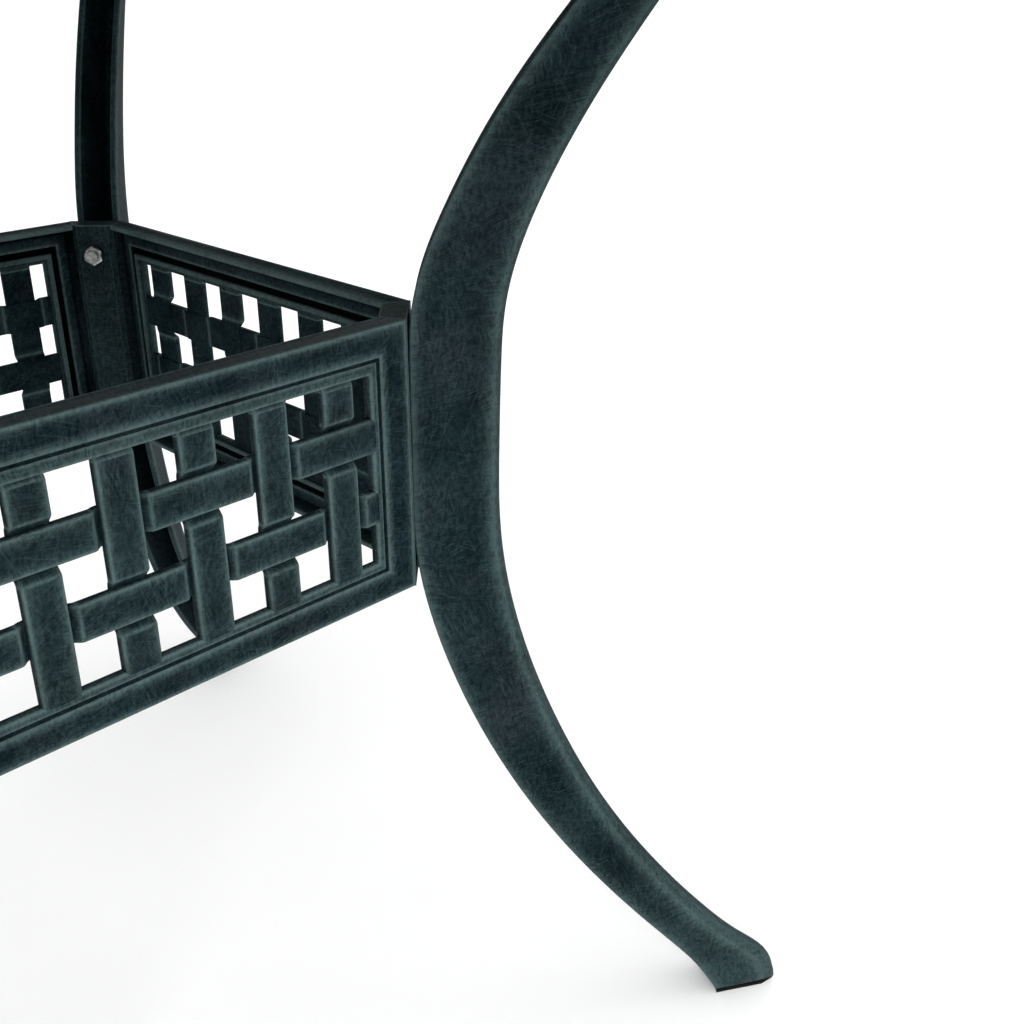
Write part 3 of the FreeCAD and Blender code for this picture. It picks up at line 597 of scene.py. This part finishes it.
def powder_coat(name, with_bevel):
    """Dark green-grey coat with dry-brushed strokes, pale worn edges and painted shade in its
    grooves and recesses.
    """
    n = Nodes(name)
    place = n.add("ShaderNodeTexCoord").outputs["Object"]
    wear_and_shade = n.add("ShaderNodeAttribute", attribute_name="wear_and_shade").outputs["Fac"]
    sheet = along_the_face(n, place)
    strokes, dark_strokes = brush_strokes(n, place, sheet)
    scratches = fine_scratches(n, sheet)
    patches = n.noise(place, PATCH_SCALE, 4.0, 0.6)
    clouds = n.noise(n.vector("ADD", place, (4.0, 8.0, 1.0)), CLOUD_SCALE, 3.0)
    speckle = n.noise(place, SPECKLE_SCALE, 2.0)
    mottle = n.noise(n.vector("MULTIPLY", sheet, (1.0, 0.45, 1.0)), MOTTLE_SCALE, 4.0, 0.7)
    worn = worn_edges(n, wear_and_shade, patches, strokes, with_bevel)
    whole = n.maths("SUBTRACT", 1.0, n.maths("MULTIPLY", worn, 0.75))

    colour = n.mix(n.ramp(patches, 0.36, 0.60), COAT_DARK, COAT_FACE)
    colour = n.mix(n.maths("MULTIPLY", n.ramp(clouds, 0.5, 0.72), 0.55), colour, COAT_CLOUD)
    colour = n.mix(n.maths("MULTIPLY", strokes, 0.52), colour, COAT_SCRATCH)
    colour = n.mix(n.maths("MULTIPLY", worn, 0.8), colour, COAT_EDGE)
    colour = n.mix(n.maths("MULTIPLY", n.maths("MULTIPLY", dark_strokes, whole), 0.6), colour,
                   COAT_DARK)
    blotches = n.maths("MULTIPLY", n.ramp(mottle, 0.56, 0.40), whole)
    colour = n.mix(n.maths("MULTIPLY", blotches, 0.6), colour, COAT_DARK)
    colour = n.mix(n.maths("MULTIPLY", scratches, 0.3), colour, COAT_SCRATCH)
    # painted shade in the groove and the recesses, where the mesh's value is below 0
    colour = n.mix(n.ramp(wear_and_shade, -0.05, -1.0), colour, COAT_PAINTED_SHADE)
    n.out("Base Color", colour)
    n.out("Roughness", n.maths("ADD", n.maths("MULTIPLY", patches, COAT_ROUGHNESS_SPREAD),
                               COAT_ROUGHNESS))
    n.shader.inputs["Specular IOR Level"].default_value = COAT_SPECULAR
    height = n.maths("ADD", n.maths("MULTIPLY", speckle, 0.5),
                     n.maths("MULTIPLY", n.maths("SUBTRACT", strokes, dark_strokes), 0.4))
    n.bump(height, 0.35, 0.12)
    return n.material


STEEL_BRIGHT = (0.50, 0.51, 0.51, 1)
STEEL_DULL = (0.26, 0.27, 0.27, 1)
STEEL_PAINTED_SHADE = (0.03, 0.032, 0.032, 1)
STEEL_SPOT_SCALE = 420.0
STEEL_LINE_SCALES = (60.0, 2600.0, 2600.0)
STEEL_NOOK = 4.0                # millimetres; faces with a neighbour this close get painted shade


def bright_steel():
    """Bright steel with fine lines, dull spots and painted shade in its nooks."""
    n = Nodes("fastener_steel")
    place = n.add("ShaderNodeTexCoord").outputs["Object"]
    spots = n.noise(place, STEEL_SPOT_SCALE, 3.0)
    lines = n.noise(n.vector("MULTIPLY", place, STEEL_LINE_SCALES), 1.0, 2.0)
    colour = n.mix(n.ramp(spots, 0.35, 0.7), STEEL_BRIGHT, STEEL_DULL)
    # ambient occlusion darkens the nooks: painted shade
    openness = n.add("ShaderNodeAmbientOcclusion", [("Distance", STEEL_NOOK * MM)], samples=6
                     ).outputs["AO"]
    colour = n.mix(n.ramp(openness, 0.85, 0.35), colour, STEEL_PAINTED_SHADE)
    n.out("Base Color", colour)
    n.out("Roughness", n.maths("ADD", n.maths("MULTIPLY", lines, 0.25), 0.18))
    n.shader.inputs["Metallic"].default_value = 1.0
    n.bump(lines, 0.2, 0.05)
    return n.material


PLASTIC_FACE = (0.004, 0.0045, 0.0045, 1)
PLASTIC_DUST = (0.010, 0.011, 0.011, 1)
PLASTIC_GRAIN_SCALE, PLASTIC_DUST_SCALE = 1400.0, 60.0
PLASTIC_SPECULAR = 0.1


def black_plastic():
    """Grained black plastic, a little dusty."""
    n = Nodes("glide_plastic")
    place = n.add("ShaderNodeTexCoord").outputs["Object"]
    grain = n.noise(place, PLASTIC_GRAIN_SCALE, 2.0)
    dust = n.noise(place, PLASTIC_DUST_SCALE, 4.0)
    n.out("Base Color", n.mix(n.ramp(dust, 0.45, 0.75), PLASTIC_FACE, PLASTIC_DUST))
    n.out("Roughness", n.maths("ADD", n.maths("MULTIPLY", grain, 0.2), 0.6))
    n.shader.inputs["Specular IOR Level"].default_value = PLASTIC_SPECULAR
    n.bump(grain, 0.3, 0.1)
    return n.material


# ---- build ---------------------------------------------------------------------------------------
def dress(obj, material):
    obj.data.materials.clear()
    obj.data.materials.append(material)


def coated_piece(name, mesh_data, node, material, turn=0.0):
    """A finished mesh, turned about the table's axis, as a coated piece for a CAD node."""
    bm = mesh_data.bm
    bmesh.ops.rotate(bm, verts=bm.verts, cent=(0, 0, 0),
                     matrix=Matrix.Rotation(math.radians(turn), 3, "Z"))
    bmesh.ops.recalc_face_normals(bm, faces=bm.faces)
    mesh = bpy.data.meshes.new(name)
    bm.to_mesh(mesh)
    bm.free()
    obj = bpy.data.objects.new(name, mesh)
    bpy.context.collection.objects.link(obj)
    mesh.shade_smooth()
    normals = obj.modifiers.new("normals", "WEIGHTED_NORMAL")
    normals.keep_sharp = False
    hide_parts(node)
    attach(obj, "root")
    dress(obj, material)


coat, coat_cad = powder_coat("green_coat", False), powder_coat("green_coat_cast", True)
steel, plastic = bright_steel(), black_plastic()

for turns, side in enumerate(SIDES):
    coated_piece(f"woven_panel_{side}", panel_mesh(), f"lattice_panel_{side}", coat, 90 * turns)
for turns, corner in enumerate(CORNERS):
    coated_piece(f"swept_leg_{corner}", leg_mesh(), f"leg_{corner}", coat, 90 * turns - 45)
    post = f"corner_post_{corner}"
    coated_piece(f"cast_post_{corner}", cad_copy(post, POST_BEVEL, POST_WEAR), post, coat_cad)
    dress(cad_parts[f"foot_glide_{corner}"], plastic)
coated_piece("cast_tabletop", cad_copy("tabletop", TOP_BEVEL, TOP_WEAR), "tabletop", coat_cad)
for node in ("frame_studs", "frame_nuts", "top_bolts", "top_washers"):
    dress(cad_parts[node], steel)

# ---- floor and light -----------------------------------------------------------------------------
FLOOR_REACH = 60.0              # metres from the middle to an edge
FLOOR_DULL, FLOOR_BRIGHT = (0.92, 0.92, 0.92, 1), (0.95, 0.95, 0.95, 1)
FLOOR_ROUGHNESS = 0.9
WORLD_COLOUR, WORLD_STRENGTH = (1, 1, 1, 1), 1.21
LIGHT_TARGET = Vector((0.1, 0.0, 0.4))

floor_mesh = bpy.data.meshes.new("floor")
floor_mesh.from_pydata([(x * FLOOR_REACH, y * FLOOR_REACH, 0)
                        for x, y in ((-1, -1), (1, -1), (1, 1), (-1, 1))], [], [(0, 1, 2, 3)])
floor = bpy.data.objects.new("floor", floor_mesh)
bpy.context.collection.objects.link(floor)
pale = Nodes("pale_floor")
pale_noise = pale.noise(pale.add("ShaderNodeTexCoord").outputs["Object"], 3.0)
pale.out("Base Color", pale.mix(pale_noise, FLOOR_DULL, FLOOR_BRIGHT))
pale.shader.inputs["Roughness"].default_value = FLOOR_ROUGHNESS
dress(floor, pale.material)

world = bpy.data.worlds.new("studio")
bpy.context.scene.world = world
world.use_nodes = True
background = world.node_tree.nodes["Background"]
background.inputs["Color"].default_value = WORLD_COLOUR
background.inputs["Strength"].default_value = WORLD_STRENGTH


def area_light(name, place, size, power):
    light = bpy.data.objects.new(name, bpy.data.lights.new(name, "AREA"))
    light.data.shape = "SQUARE"
    light.data.size = size
    light.data.energy = power
    light.location = place
    light.rotation_euler = (LIGHT_TARGET - Vector(place)).to_track_quat("-Z", "Y").to_euler()
    bpy.context.collection.objects.link(light)


area_light("key", place=(-2.2, -2.6, 2.4), size=1.6, power=60)
area_light("fill", place=(2.6, -1.6, 1.6), size=1.8, power=14)
